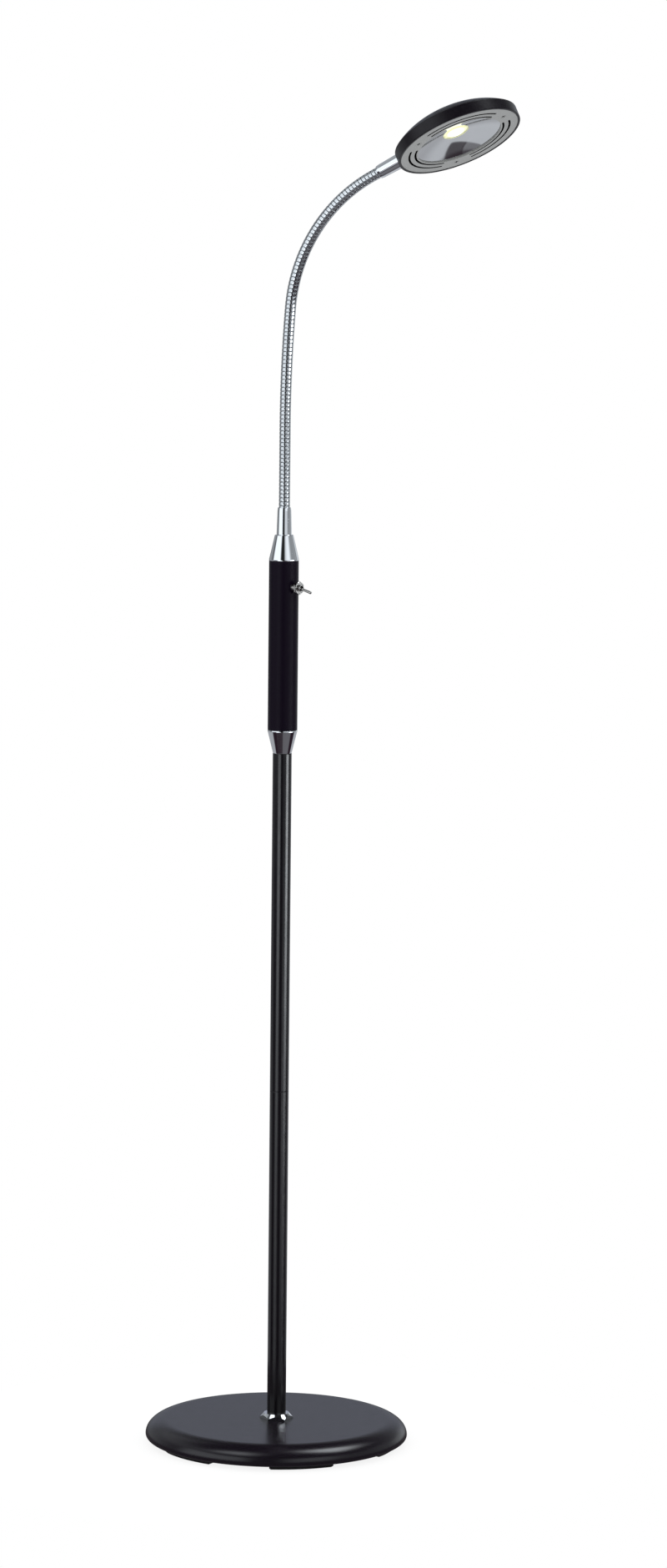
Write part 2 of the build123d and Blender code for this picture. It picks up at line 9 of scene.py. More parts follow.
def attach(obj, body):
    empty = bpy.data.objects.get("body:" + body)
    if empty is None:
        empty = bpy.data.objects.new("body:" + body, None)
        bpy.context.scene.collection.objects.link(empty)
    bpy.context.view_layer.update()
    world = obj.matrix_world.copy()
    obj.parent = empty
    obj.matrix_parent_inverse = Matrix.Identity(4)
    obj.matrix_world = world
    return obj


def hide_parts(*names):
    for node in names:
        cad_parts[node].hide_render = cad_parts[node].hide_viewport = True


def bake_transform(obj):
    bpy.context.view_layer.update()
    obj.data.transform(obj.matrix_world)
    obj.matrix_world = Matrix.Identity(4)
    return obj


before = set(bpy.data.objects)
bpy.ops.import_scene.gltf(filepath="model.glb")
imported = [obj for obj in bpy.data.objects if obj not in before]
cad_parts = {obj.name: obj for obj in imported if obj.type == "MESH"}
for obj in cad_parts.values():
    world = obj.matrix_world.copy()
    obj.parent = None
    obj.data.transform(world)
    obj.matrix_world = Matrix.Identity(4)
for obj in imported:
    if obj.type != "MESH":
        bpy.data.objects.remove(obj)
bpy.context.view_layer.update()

# Gooseneck reading floor lamp. Sizes in mm, as in the part's source; meshes are in metres.
# Z is the pole's axis, zero at the base plate's underside. The neck bows over towards +X.

MM = 0.001

# ---------------------------------------- sizes
floor_level = -4.0
base_radius, base_top_radius, base_lip_radius = 125.0, 105.0, 118.5
base_height, base_widest, lip_level, cover_wall = 18.7, 4.0, -0.6, 1.6
stud_hole, lip_wrap = 5.3, 1.5
collar_flats, collar_height, collar_chamfer, collar_turn = 27.5, 5.4, 1.65, 50.0
pole_radius, pole_wall, pole_seam, pole_top, tube_edge = 9.0, 1.2, 336.0, 658.6, 0.35
handle_radius, handle_wall, handle_foot, handle_top = 14.0, 1.5, 680.7, 840.7
cone_land, lower_cone_end, upper_cone_end, cone_plug = 1.2, 8.8, 8.75, 8.0
stud_bore, nipple_bore, slip = 5.05, 4.05, 0.05
ferrule_foot, ferrule_length, ferrule_step, neck_foot = 864.7, 25.8, 11.3, 890.5
ferrule_wide, ferrule_waist, ferrule_mouth, ferrule_bore = 7.15, 6.5, 6.1, 4.55
ferrule_taper_end = 23.0
switch_level, switch_heading, switch_tilt, switch_start = 816.0, -25.0, -13.0, 11.5
switch_reach, barrel_radius, barrel_bore = 10.0, 3.0, 2.3
sleeve_radius, sleeve_reach, sleeve_sink = 4.35, 5.5, 1.2
switch_nut_flats, switch_nut_height, switch_nut_corner = 11.4, 2.0, 5.5
lever_pivot, lever_ball, lever_tail, lever_tip, lever_length = 7.4, 2.0, 0.8, 1.35, 14.65
neck_pitch, ridge_radius, groove_radius, rib_crown = 3.7, 5.25, 4.65, 0.02
end_length, link_length, neck_length = 25.9, 37.0, 347.8
neck_straight, lean_radius, lean_angle, bend_radius, bend_angle = 75.6, 1450.0, 4.4, 154.5, 57.2
head_reach, head_drop, head_roll = 84.0, 12.0, 13.3
shell_radius, shell_band, dome_rise, crown_radius, shell_wall = 59.79, 10.4, 15.8, 15.0, 2.0
bezel_radius, bezel_opening, bezel_face, bezel_seat = 57.4, 40.8, 0.4, 1.9
slot_radii, slot_width, slot_half_span = (43.3, 49.3), 2.0, 42.0
bezel_screw_circle, bezel_screw_hole, bezel_screw_radius, bezel_screw_shank = 48.0, 2.75, 2.7, 1.5
plate_screw_circle, plate_screw_radius, plate_screw_shank, plate_screw_level = 86.0, 3.4, 2.0, 0.15
throat_radius, throat_level, board_face, dish_bow, dish_wall = 12.6, 9.7, 10.7, 0.8, 0.8
emitter_radius, emitter_face, lens_radius, lens_height = 9.5, 9.7, 8.5, 2.4
boss_radius, boss_length, boss_mouth, boss_bore, boss_step = 8.5, 18.2, 7.45, 4.1, 1.0
ferrule_sink = 1.6
floor_reach = 340.0


# ---------------------------------------- helpers
def feed(node, inputs):
    """Sets a node's inputs, or links them where the value is a socket or another node."""
    for socket, value in inputs.items():
        if isinstance(value, bpy.types.Node):
            value = next(output for output in value.outputs if output.enabled)
        if isinstance(value, bpy.types.NodeSocket):
            node.id_data.links.new(value, node.inputs[socket])
        else:
            node.inputs[socket].default_value = value


def add(tree, kind, inputs=None, **settings):
    """Adds a node with its settings and inputs. A Mix node's two colours are inputs 6 and 7."""
    made = tree.nodes.new(kind)
    for name, value in settings.items():
        setattr(made, name, value)
    feed(made, inputs or {})
    return made


def colour(code):
    """Linear colour, with alpha, from an sRGB hex code."""
    parts = [int(code[i:i + 2], 16) / 255 for i in (1, 3, 5)]
    return [c / 12.92 if c <= 0.04045 else ((c + 0.055) / 1.055) ** 2.4 for c in parts] + [1.0]


def rounded(corners, steps=4):
    """(radius, height) points of a profile whose corners are (radius, height, fillet)."""
    points = []
    for i, corner in enumerate(corners):
        here = Vector(corner[:2])
        fillet = corner[2] if len(corner) > 2 else 0.0
        if not fillet:
            points.append(here)
            continue
        before = (Vector(corners[i - 1][:2]) - here).normalized()
        after = (Vector(corners[(i + 1) % len(corners)][:2]) - here).normalized()
        half = before.angle(after) / 2
        reach, centre = fillet / tan(half), (before + after).normalized() * fillet / sin(half)
        first, last = before * reach - centre, after * reach - centre
        turn = first.angle_signed(last)
        for k in range(steps + 1):
            a = -turn * k / steps
            x = first.x * cos(a) - first.y * sin(a)
            y = first.x * sin(a) + first.y * cos(a)
            points.append(here + centre + Vector((x, y)))
    return points


def bow(centre, reach, rise, start, end, steps=24):
    """Points along part of an upright ellipse, by its parameter in degrees."""
    angles = [radians(start + (end - start) * k / steps) for k in range(steps + 1)]
    return [(centre[0] + reach * cos(a), centre[1] + rise * sin(a)) for a in angles]


def ring_points(radius, count, centre=(0, 0)):
    """Evenly spaced points of a circle, from its +X side."""
    angles = [2 * pi * k / count for k in range(count)]
    return [(centre[0] + radius * cos(a), centre[1] + radius * sin(a)) for a in angles]


def mesh_from(form, name, place=None):
    """Turns a form's faces outwards, puts it in place and keeps it as a mesh."""
    bmesh.ops.recalc_face_normals(form, faces=form.faces)
    if place:
        form.transform(place)
    mesh = bpy.data.meshes.new(name)
    form.to_mesh(mesh)
    form.free()
    return mesh


def mesh_object(name, mesh, material, sharp=32.0):
    """An object of the mesh, shaded smooth but for edges sharper than an angle in degrees."""
    mesh.name = name
    if material:
        mesh.materials.clear()
        mesh.materials.append(material)
    mesh.shade_smooth()
    mesh.set_sharp_from_angle(angle=radians(sharp))
    made = bpy.data.objects.new(name, mesh)
    bpy.context.collection.objects.link(made)
    return made


def supported(profile, room=0.25, long_side=4.0):
    """The profile with a point near both ends of each long side, for even shading there."""
    points = []
    for here, there in zip(profile, profile[1:] + profile[:1]):
        here, along = Vector(here), Vector(there) - Vector(here)
        points.append(here)
        if along.length > long_side:
            inset = along.normalized() * room
            points += [here + inset, here + along - inset]
    return points


def lathe(name, profile, material, place=None, sides=128, sharp=32.0):
    """A turned piece about its own Z axis from a closed profile, then put in place."""
    form = bmesh.new()
    rings = []
    for radius, height in supported(profile):
        spots = ring_points(radius, sides) if radius > 1e-6 else [(0, 0)]
        rings.append([form.verts.new((x * MM, y * MM, height * MM)) for x, y in spots])
    for here, there in zip(rings, rings[1:] + rings[:1]):
        if len(here) == len(there) == 1:
            continue
        for k in range(sides):
            low = here[k % len(here)], here[(k + 1) % len(here)]
            high = there[(k + 1) % len(there)], there[k % len(there)]
            form.faces.new(list(dict.fromkeys(low + high)))
    return mesh_object(name, mesh_from(form, name, place), material, sharp)


def hexagon_nut(name, flats, bore, low, high, top_radius, material, place=None, turn=0.0):
    """Six-sided nut on Z, its top corners turned off to a circle, with a round bore."""
    form = bmesh.new()
    sides, slope, bevel = 96, 1.1, 0.15
    rings = [[], [], [], [], [], []]
    for k in range(sides):
        a = 2 * pi * k / sides
        reach = flats / 2 / cos((a + pi / 6) % (pi / 3) - pi / 6)
        shoulder = high - slope * max(reach - top_radius, 0)
        foot = ((bore, low), (reach - bevel, low), (reach, low + bevel))
        top = ((reach, shoulder), (min(reach, top_radius), high), (bore, high))
        for ring, (radius, height) in zip(rings, foot + top):
            spot = Vector((radius * cos(a), radius * sin(a), height)) * MM
            ring.append(form.verts.new(Matrix.Rotation(radians(turn), 3, "Z") @ spot))
    for here, there in zip(rings, rings[1:] + rings[:1]):
        for k in range(sides):
            j = (k + 1) % sides
            form.faces.new((here[k], here[j], there[j], there[k]))
    bmesh.ops.remove_doubles(form, verts=form.verts, dist=1e-6)
    return mesh_object(name, mesh_from(form, name, place), material, 15)


def plain_mesh(made):
    """The object's evaluated shape as a mesh of its own."""
    seen = made.evaluated_get(bpy.context.evaluated_depsgraph_get())
    return bpy.data.meshes.new_from_object(seen)


def start_tree(name, inputs):
    """A Geometry Nodes tree with named inputs, and the sockets that give them."""
    tree = bpy.data.node_groups.new(name, "GeometryNodeTree")
    for socket, kind in {"Geometry": "Geometry", **inputs}.items():
        tree.interface.new_socket(socket, in_out="INPUT", socket_type=f"NodeSocket{kind}")
    tree.interface.new_socket("Geometry", in_out="OUTPUT", socket_type="NodeSocketGeometry")
    return tree, add(tree, "NodeGroupInput").outputs


def end_tree(tree, geometry, material):
    """Makes a tree's copies real, gives them their material and hands them on."""
    real = add(tree, "GeometryNodeRealizeInstances", {"Geometry": geometry})
    dressed = add(tree, "GeometryNodeSetMaterial", {"Geometry": real, "Material": material})
    add(tree, "NodeGroupOutput", {0: dressed})


def grown(piece, tree, inputs):
    """The plain mesh that a tree makes from an object, which is then removed."""
    modifier = piece.modifiers.new(tree.name, "NODES")
    modifier.node_group = tree
    for socket in tree.interface.items_tree:
        if socket.in_out == "INPUT" and socket.name in inputs:
            modifier[socket.identifier] = inputs[socket.name]
    mesh = plain_mesh(piece)
    bpy.data.objects.remove(piece)
    return mesh


def fit(piece, body, slot, *nodes):
    """Ties a piece to its body and hides the CAD nodes that it stands for. The slot is not used."""
    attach(piece, body)
    if nodes:
        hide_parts(*nodes)


def frame_of(origin, x_axis, z_axis):
    """Placing matrix with its origin in mm and the given X and Z directions."""
    x_axis, z_axis = x_axis.normalized(), z_axis.normalized()
    turned = Matrix((x_axis, z_axis.cross(x_axis), z_axis)).transposed().to_4x4()
    return Matrix.Translation(origin * MM) @ turned


def neck_place(station):
    """Point, in-plane normal and heading on the neck's centreline, station mm along it."""
    x, z, heading, rest = 0.0, neck_foot, 0.0, station
    lean, bend = lean_radius * radians(lean_angle), bend_radius * radians(bend_angle)
    stretches = ((neck_straight, 0), (lean, lean_radius), (bend, bend_radius), (neck_length, 0))
    for length, radius in stretches:
        run = min(rest, length)
        rest -= run
        if radius:
            end = heading + run / radius
            x += radius * (cos(heading) - cos(end))
            z += radius * (sin(end) - sin(heading))
            heading = end
        else:
            x += run * sin(heading)
            z += run * cos(heading)
    across = Vector((cos(heading), 0, -sin(heading)))
    along = Vector((sin(heading), 0, cos(heading)))
    return Vector((x, 0, z)), across, along


# ---------------------------------------- materials
def start_material(name):
    """A new material, its tree and shader, and the Object coordinates for its patterns."""
    made = bpy.data.materials.new(name)
    made.use_nodes = True
    tree = made.node_tree
    tree.nodes.clear()
    shader = add(tree, "ShaderNodeBsdfPrincipled")
    add(tree, "ShaderNodeOutputMaterial", {"Surface": shader})
    place = add(tree, "ShaderNodeTexCoord").outputs["Object"]
    return made, tree, shader, place


def mottled(tree, place, scale, low, high):
    """A noise between two values, scale in repeats per metre."""
    noise = add(tree, "ShaderNodeTexNoise", {"Vector": place, "Scale": scale, "Detail": 4.0})
    ends = {"Value": noise, "From Min": 0.3, "From Max": 0.7, "To Min": low, "To Max": high}
    return add(tree, "ShaderNodeMapRange", ends)


def drifting(tree, place, scale, detail, first, second):
    """A slow drift between two close colours, scale in repeats per metre."""
    noise = add(tree, "ShaderNodeTexNoise", {"Vector": place, "Scale": scale, "Detail": detail})
    both = {0: noise, 6: colour(first), 7: colour(second)}
    return add(tree, "ShaderNodeMix", both, data_type="RGBA")


def grained(tree, place, grain_mm, detail, strength, depth_mm):
    """A fine raised grain, from the size of one grain."""
    given = {"Vector": place, "Scale": 1000.0 / grain_mm, "Detail": detail}
    noise = add(tree, "ShaderNodeTexNoise", given)
    raised = {"Height": noise, "Strength": strength, "Distance": depth_mm * MM}
    return add(tree, "ShaderNodeBump", raised)


def coated(name, first, second, rough_low, rough_high, grain_mm, bump, specular=0.5):
    """Paint, plastic, rubber or a casting, from its colours, roughness and grain."""
    made, tree, shader, place = start_material(name)
    given = {
        "Base Color": drifting(tree, place, 35.0, 3.0, first, second),
        "Roughness": mottled(tree, place, 120.0, rough_low, rough_high),
        "Normal": grained(tree, place, grain_mm, 2.0, bump, 0.2),
        "Specular IOR Level": specular,
    }
    feed(shader, given)
    return made


def bright_metal(name, first, second, rough_low, rough_high, grain_mm, bump):
    """Bare or plated metal, from its colours, roughness and grain."""
    made, tree, shader, place = start_material(name)
    given = {
        "Base Color": drifting(tree, place, 60.0, 5.0, first, second),
        "Roughness": mottled(tree, place, 250.0, rough_low, rough_high),
        "Normal": grained(tree, place, grain_mm, 3.0, bump, 0.05),
        "Metallic": 1.0,
    }
    feed(shader, given)
    return made


# Satin black powder coat on pressed steel: a low sheen, slightly orange-peeled.
base_coat = coated("satin_black_powder_coat", "#100a13", "#130c17", 0.25, 0.27, 0.9, 0.01)
# Semi-gloss black stoving enamel on drawn tube: narrow bright streaks along the tube.
tube_enamel = coated("black_stoving_enamel", "#0e0c10", "#110f14", 0.12, 0.16, 1.2, 0.02)
# Soft matt coating on the grip: almost no highlight, a faint violet cast.
grip_coat = coated("soft_matt_grip_coat", "#0c0413", "#0f0616", 0.32, 0.38, 0.5, 0.04, 0.10)
# Bright chrome plate over turned steel: mirror-like, with the haze that handling leaves.
chrome = bright_metal("bright_chrome_plate", "#e4e6ea", "#eceef1", 0.04, 0.07, 0.4, 0.01)
# Satin nickel plate of the small switch: soft mid-grey reflections.
nickel = bright_metal("satin_nickel_plate", "#c4c2bf", "#cfcdca", 0.18, 0.24, 0.4, 0.01)
# Zinc-plated steel of hidden hardware: greyer and rougher than chrome.
zinc = bright_metal("zinc_plated_steel", "#a2a4a6", "#b4b5b4", 0.28, 0.40, 0.6, 0.10)
# Grey cast iron: dull and pitted.
iron = coated("grey_cast_iron", "#3b3b3b", "#4a4846", 0.70, 0.85, 2.0, 0.55)
# Moulded rubber of the feet: dead matt.
rubber = coated("moulded_black_rubber", "#0b0b0d", "#121214", 0.62, 0.75, 0.8, 0.15)
# Injection-moulded nylon bush: a dull, waxy black.
nylon = coated("black_nylon", "#0d0d0e", "#151516", 0.40, 0.50, 0.6, 0.06)
# Rolled brass of the solder tags: warm, with a light haze.
brass = bright_metal("brass_strip", "#b99645", "#c8a85a", 0.25, 0.35, 0.5, 0.05)
# Compression-moulded phenolic of the switch's body: deep red with a faint gloss.
phenolic = coated("red_phenolic", "#4a0d0b", "#5a1512", 0.30, 0.40, 0.6, 0.05)
# Fine-textured black moulding of the head's shell, ABS with a spark-eroded grain.
shell_plastic = coated("textured_black_abs", "#0d0810", "#120c15", 0.30, 0.38, 0.45, 0.06, 0.3)
# Satin lacquer sprayed on the flat ring of the head: light grey, its sheen wide and even.
ring_lacquer = coated("satin_grey_lacquer", "#959695", "#9c9d9c", 0.38, 0.48, 0.5, 0.05)
# Spun aluminium, satin anodised: a soft mirror.
dish_metal = bright_metal("satin_anodised_dish", "#d6d7d9", "#dfe0e2", 0.06, 0.09, 2.5, 0.008)
# Extruded aluminium of the heat sink: pale, with a dull drawn skin.
sink_metal = bright_metal("extruded_aluminium", "#b3b4b6", "#c0c1c2", 0.35, 0.45, 0.7, 0.08)


def screw_material(name, first, second, metallic):
    """A screw's clean face, and painted shade that colours the faces of its cross recess dark."""
    made, tree, shader, place = start_material(name)
    face = drifting(tree, place, 300.0, 3.0, first, second)
    recess_shade = add(tree, "ShaderNodeAttribute", attribute_name="recess_shade").outputs["Fac"]
    # Painted shade: faces in the recess take a near-black colour.
    shade = {0: recess_shade, 6: face, 7: colour("#232325")}
    given = {
        "Base Color": add(tree, "ShaderNodeMix", shade, data_type="RGBA"),
        "Roughness": mottled(tree, place, 400.0, 0.32, 0.45),
        "Metallic": metallic,
    }
    feed(shader, given)
    return made


def glowing(name, centre_code, edge_code, inner, outer, strength, place_matrix):
    """Glowing surface whose colour goes from its middle to its edge, radii in mm: the LED's own
    light, or a painted glow.
    """
    made, tree, shader, place = start_material(name)
    inverse = place_matrix.inverted()
    centred = {"Location": inverse.to_translation(), "Rotation": inverse.to_euler()}
    at_source = add(tree, "ShaderNodeMapping", {"Vector": place, **centred})
    parts = add(tree, "ShaderNodeSeparateXYZ", {"Vector": at_source})
    flat = add(tree, "ShaderNodeCombineXYZ", {"X": parts.outputs[0], "Y": parts.outputs[1]})
    reach = add(tree, "ShaderNodeVectorMath", {0: flat}, operation="LENGTH")
    span = {"Value": reach, "From Min": inner * MM, "From Max": outer * MM}
    share = add(tree, "ShaderNodeMapRange", span)
    grain = add(tree, "ShaderNodeTexNoise", {"Vector": place, "Scale": 900.0, "Detail": 2.0})
    wobble = add(tree, "ShaderNodeMath", {0: grain, 1: -0.5}, operation="ADD")
    ragged = add(tree, "ShaderNodeMath", {0: wobble, 1: 0.25, 2: share}, operation="MULTIPLY_ADD")
    colours = {0: ragged, 6: colour(centre_code), 7: colour(edge_code)}
    both = add(tree, "ShaderNodeMix", colours, data_type="RGBA")
    given = {
        "Base Color": both,
        "Emission Color": both,
        "Emission Strength": strength,
        "Roughness": 0.25,
    }
    feed(shader, given)
    made.cycles.emission_sampling = "NONE"
    return made


# ---------------------------------------- base
def build_base():
    """Pressed cover with its shoulder and turned-in lip, and the collar at the pole's foot."""
    lip_inner, lip_top, top = base_lip_radius - lip_wrap, lip_level + cover_wall, base_top_radius
    reach, rise = base_radius - base_top_radius, base_height - base_widest
    tuck, drop = base_radius - base_lip_radius, base_widest - lip_level
    shoulder, foot = (base_top_radius, base_widest), (base_lip_radius, base_widest)
    # Two more rings on the flat top keep its shading level.
    outline = [(stud_hole, base_height), (top - 40, base_height), (top - 12, base_height)]
    outline += bow(shoulder, reach, rise, 90, 0, 40)
    outline += bow(foot, tuck, drop, 0, -90, 12)[1:]
    outline += [(lip_inner, lip_level), (lip_inner, lip_top), (base_lip_radius, lip_top)]
    outline += bow(foot, tuck - cover_wall, drop - cover_wall, -80, 0, 8)
    outline += bow(shoulder, reach - cover_wall, rise - cover_wall, 0, 90, 20)[1:]
    outline += [(stud_hole, base_height - cover_wall)]
    cover = lathe("base_skin", outline, base_coat, sides=256)
    fit(cover, "stand", "cover_paint", "base_cover")

    bore, across = pole_radius + slip, collar_flats / 2 - collar_chamfer
    ends = base_height, base_height + collar_height
    collar = hexagon_nut("foot_collar", collar_flats, bore, *ends, across, chrome, turn=collar_turn)
    fit(collar, "stand", "chrome", "pole_collar")


def build_pole():
    """Two tubes end to end, with a fine seam where their edges are rounded."""
    bore = pole_radius - pole_wall
    for name, low, high, node in (
        ("lower_tube", base_height, pole_seam, "lower_pole_tube"),
        ("upper_tube", pole_seam, pole_top, "upper_pole_tube"),
    ):
        skin = [(pole_radius, low, tube_edge), (pole_radius, high, tube_edge)]
        outline = rounded([(bore, low), *skin, (bore, high)])
        fit(lathe(name, outline, tube_enamel, sides=96), "stand", "pole_paint", node)


def build_handle():
    """Grip tube between two turned cones that plug into its ends."""
    bore = handle_radius - handle_wall
    plug = bore - slip
    lower = [
        (stud_bore, pole_top),
        (lower_cone_end, pole_top, 0.3),
        (handle_radius, handle_foot - cone_land, 0.4),
        (handle_radius, handle_foot, 0.25),
        (plug, handle_foot),
        (plug, handle_foot + cone_plug),
        (stud_bore, handle_foot + cone_plug),
    ]
    upper = [
        (nipple_bore, ferrule_foot),
        (nipple_bore, handle_top - cone_plug),
        (plug, handle_top - cone_plug),
        (plug, handle_top),
        (handle_radius, handle_top, 0.25),
        (handle_radius, handle_top + cone_land, 0.4),
        (upper_cone_end, ferrule_foot, 0.35),
    ]
    grip = [
        (bore, handle_foot),
        (handle_radius, handle_foot, 0.3),
        (handle_radius, handle_top, 0.3),
        (bore, handle_top),
    ]
    for name, outline, material, slot, node in (
        ("lower_grip_cone", lower, chrome, "chrome", "lower_cone"),
        ("upper_grip_cone", upper, chrome, "chrome", "upper_cone"),
        ("grip_sleeve", grip, grip_coat, "grip_coating", "handle_tube"),
    ):
        fit(lathe(name, rounded(outline), material), "stand", slot, node)


def build_switch():
    """Toggle switch on the handle's face: round sleeve, nut, threaded barrel and bat lever."""
    heading = Vector((cos(radians(switch_heading)), sin(radians(switch_heading)), 0))
    place = frame_of(Vector((0, 0, switch_level)), Vector((0, 0, 1)), heading)
    back, mouth, end = (handle_radius + d for d in (-sleeve_sink, sleeve_reach, switch_reach))
    bore = barrel_radius + slip
    sleeve = [(bore, back), (sleeve_radius, back), (sleeve_radius, mouth, 0.35), (bore, mouth)]
    barrel = [(barrel_bore, switch_start), (barrel_radius, switch_start)]
    barrel += [(barrel_radius, end, 0.65), (barrel_bore, end)]
    # The lever's tail, the ball that it turns on, its slim neck and its thicker round end.
    bat = [(0, -4.6), (lever_tail, -4.6), (lever_tail, -1.833)]
    bat += bow((0, 0), lever_ball, lever_ball, -66.4, 54.9, 14)[1:]
    bat += [(1.15, 2.6), (1.3, 13.4)]
    bat += bow((0, lever_length), lever_tip, lever_tip, 0, 90, 8)
    pivot = Matrix.Translation((0, 0, (handle_radius + lever_pivot) * MM))
    tilt = pivot @ Matrix.Rotation(radians(switch_tilt), 4, "Y")
    collar = lathe("switch_collar", rounded(sleeve), nickel, place, 48)
    nut_sizes = switch_nut_flats, bore, mouth, mouth + switch_nut_height, switch_nut_corner
    nut = hexagon_nut("switch_hex_nut", *nut_sizes, nickel, place, 30)
    tube = lathe("switch_barrel", rounded(barrel, 6), nickel, place, 48)
    lever = lathe("switch_bat", bat, nickel, place @ tilt, 32)
    fit(collar, "stand", "chrome", "switch_sleeve")
    fit(nut, "stand", "chrome", "switch_nut")
    fit(tube, "stand", "chrome", "switch_bushing")
    fit(lever, "lever", "chrome", "switch_lever")


# ---------------------------------------- gooseneck
def neck_tree():
    """Sweeps a round section along a centreline and winds its ribs round it as a screw."""
    sizes = ("Rib radius", "Groove radius", "Pitch", "Crown", "Step", "First station")
    inputs = {**dict.fromkeys(sizes, "Float"), "Sides": "Int", "Material": "Material"}
    tree, given = start_tree("wound_gooseneck", inputs)
    spaced = {"Curve": given["Geometry"], "Length": given["Step"]}
    line = add(tree, "GeometryNodeResampleCurve", spaced, mode="LENGTH")
    upward = {"Curve": line, "Normal": (0, 1, 0)}
    upright = add(tree, "GeometryNodeSetCurveNormal", upward, mode="FREE")
    along = add(tree, "GeometryNodeCaptureAttribute", {"Geometry": upright})
    along.capture_items.new("FLOAT", "run")
    along.capture_items.new("VECTOR", "middle")
    run = add(tree, "GeometryNodeSplineParameter").outputs["Length"]
    feed(along, {"run": run, "middle": add(tree, "GeometryNodeInputPosition")})
    size = {"Resolution": given["Sides"], "Radius": given["Rib radius"]}
    section = add(tree, "GeometryNodeCurvePrimitiveCircle", size)
    round_way = add(tree, "GeometryNodeCaptureAttribute", {"Geometry": section})
    round_way.capture_items.new("FLOAT", "turn")
    feed(round_way, {"turn": add(tree, "GeometryNodeSplineParameter").outputs["Factor"]})
    both = {"Curve": along, "Profile Curve": round_way, "Fill Caps": True}
    swept = add(tree, "GeometryNodeCurveToMesh", both)

    # Where a point is between two grooves: 0 in the middle of a rib, 1 in the groove.
    edge = along.outputs["run"]
    for operation, second in (
        ("ADD", given["First station"]),
        ("DIVIDE", given["Pitch"]),
        ("SUBTRACT", round_way.outputs["turn"]),
        ("FRACT", 0.0),
        ("SUBTRACT", 0.5),
        ("ABSOLUTE", 0.0),
        ("MULTIPLY", 2.0),
    ):
        edge = add(tree, "ShaderNodeMath", {0: edge, 1: second}, operation=operation)
    ends = {"Value": edge, "From Min": 0.84, "From Max": 1.0}
    wall = add(tree, "ShaderNodeMapRange", ends, interpolation_type="SMOOTHSTEP")
    radii = {0: given["Rib radius"], 1: given["Groove radius"]}
    full_depth = add(tree, "ShaderNodeMath", radii, operation="SUBTRACT")
    depth = add(tree, "ShaderNodeMath", {0: wall, 1: full_depth}, operation="MULTIPLY")
    square = add(tree, "ShaderNodeMath", {0: edge, 1: edge}, operation="MULTIPLY")
    crowned = add(tree, "ShaderNodeMath", {0: square, 1: given["Crown"]}, operation="MULTIPLY")
    share = given["Rib radius"]
    for operation, second in (
        ("SUBTRACT", depth),
        ("SUBTRACT", crowned),
        ("DIVIDE", given["Rib radius"]),
    ):
        share = add(tree, "ShaderNodeMath", {0: share, 1: second}, operation=operation)
    middle = along.outputs["middle"]
    arm = {0: add(tree, "GeometryNodeInputPosition"), 1: middle}
    arm = add(tree, "ShaderNodeVectorMath", arm, operation="SUBTRACT")
    scaled = add(tree, "ShaderNodeVectorMath", {0: arm, "Scale": share}, operation="SCALE")
    moved = add(tree, "ShaderNodeVectorMath", {0: scaled, 1: middle}, operation="ADD")
    ribbed = add(tree, "GeometryNodeSetPosition", {"Geometry": swept, "Position": moved})
    mark = {"Geometry": ribbed, "Name": "groove", "Value": wall}
    kind = "GeometryNodeStoreNamedAttribute"
    marked = add(tree, kind, mark, data_type="FLOAT", domain="POINT")
    end_tree(tree, marked, given["Material"])
    return tree


def neck_chrome_material():
    """Chrome on the wound wire: bright on the ribs; in the grooves a darker colour paints their
    shade and a higher roughness dulls them.
    """
    made, tree, shader, place = start_material("wound_chrome_wire")
    bright = drifting(tree, place, 90.0, 4.0, "#c6cace", "#d8dbde")
    groove = add(tree, "ShaderNodeAttribute", attribute_name="groove").outputs["Fac"]
    # Painted shade: the grooves take a darker grey than the ribs.
    shade = {0: groove, 6: bright, 7: colour("#a9acaf")}
    dulled = {"Value": groove, "To Min": 0.11, "To Max": 0.34}
    given = {
        "Base Color": add(tree, "ShaderNodeMix", shade, data_type="RGBA"),
        "Roughness": add(tree, "ShaderNodeMapRange", dulled),
        "Metallic": 1.0,
    }
    feed(shader, given)
    return made


def build_neck():
    """Nine ribbed sleeves, each from the middle of one moving link to the middle of the next."""
    tree, material = neck_tree(), neck_chrome_material()
    joints = [end_length + i * link_length for i in range(9)]
    cuts = [0.0] + [j + link_length / 2 for j in joints[:-1]] + [neck_length]
    spacing, blend_margin = 0.9, 2
    for i in range(9):
        first, last = cuts[i], cuts[i + 1]
        line = bpy.data.curves.new(f"neck_line_{i + 1}", "CURVE")
        line.dimensions = "3D"
        count = round((last - first) / spacing) + 1
        spline = line.splines.new("POLY")
        spline.points.add(count - 1)
        for k in range(count):
            point = neck_place(first + (last - first) * k / (count - 1))[0] * MM
            spline.points[k].co = (*point, 1)
        path = bpy.data.objects.new(f"neck_line_{i + 1}", line)
        bpy.context.collection.objects.link(path)
        sizes = {
            "Rib radius": ridge_radius * MM,
            "Groove radius": groove_radius * MM,
            "Pitch": neck_pitch * MM,
            "Crown": rib_crown * MM,
            "Step": neck_pitch * MM / 16,
            "First station": first * MM,
            "Sides": 48,
            "Material": material,
        }
        sleeve = mesh_object(f"gooseneck_{i + 1}", grown(path, tree, sizes), material, 60)
        start = neck_place(first + blend_margin)[0] * MM
        end = neck_place(last - blend_margin)[0] * MM
        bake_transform(sleeve)
        own = ["neck_root"] if i == 0 else [f"neck_link_{i}"]
        if i == 8:
            own.append("neck_tip")
        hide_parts(*own)


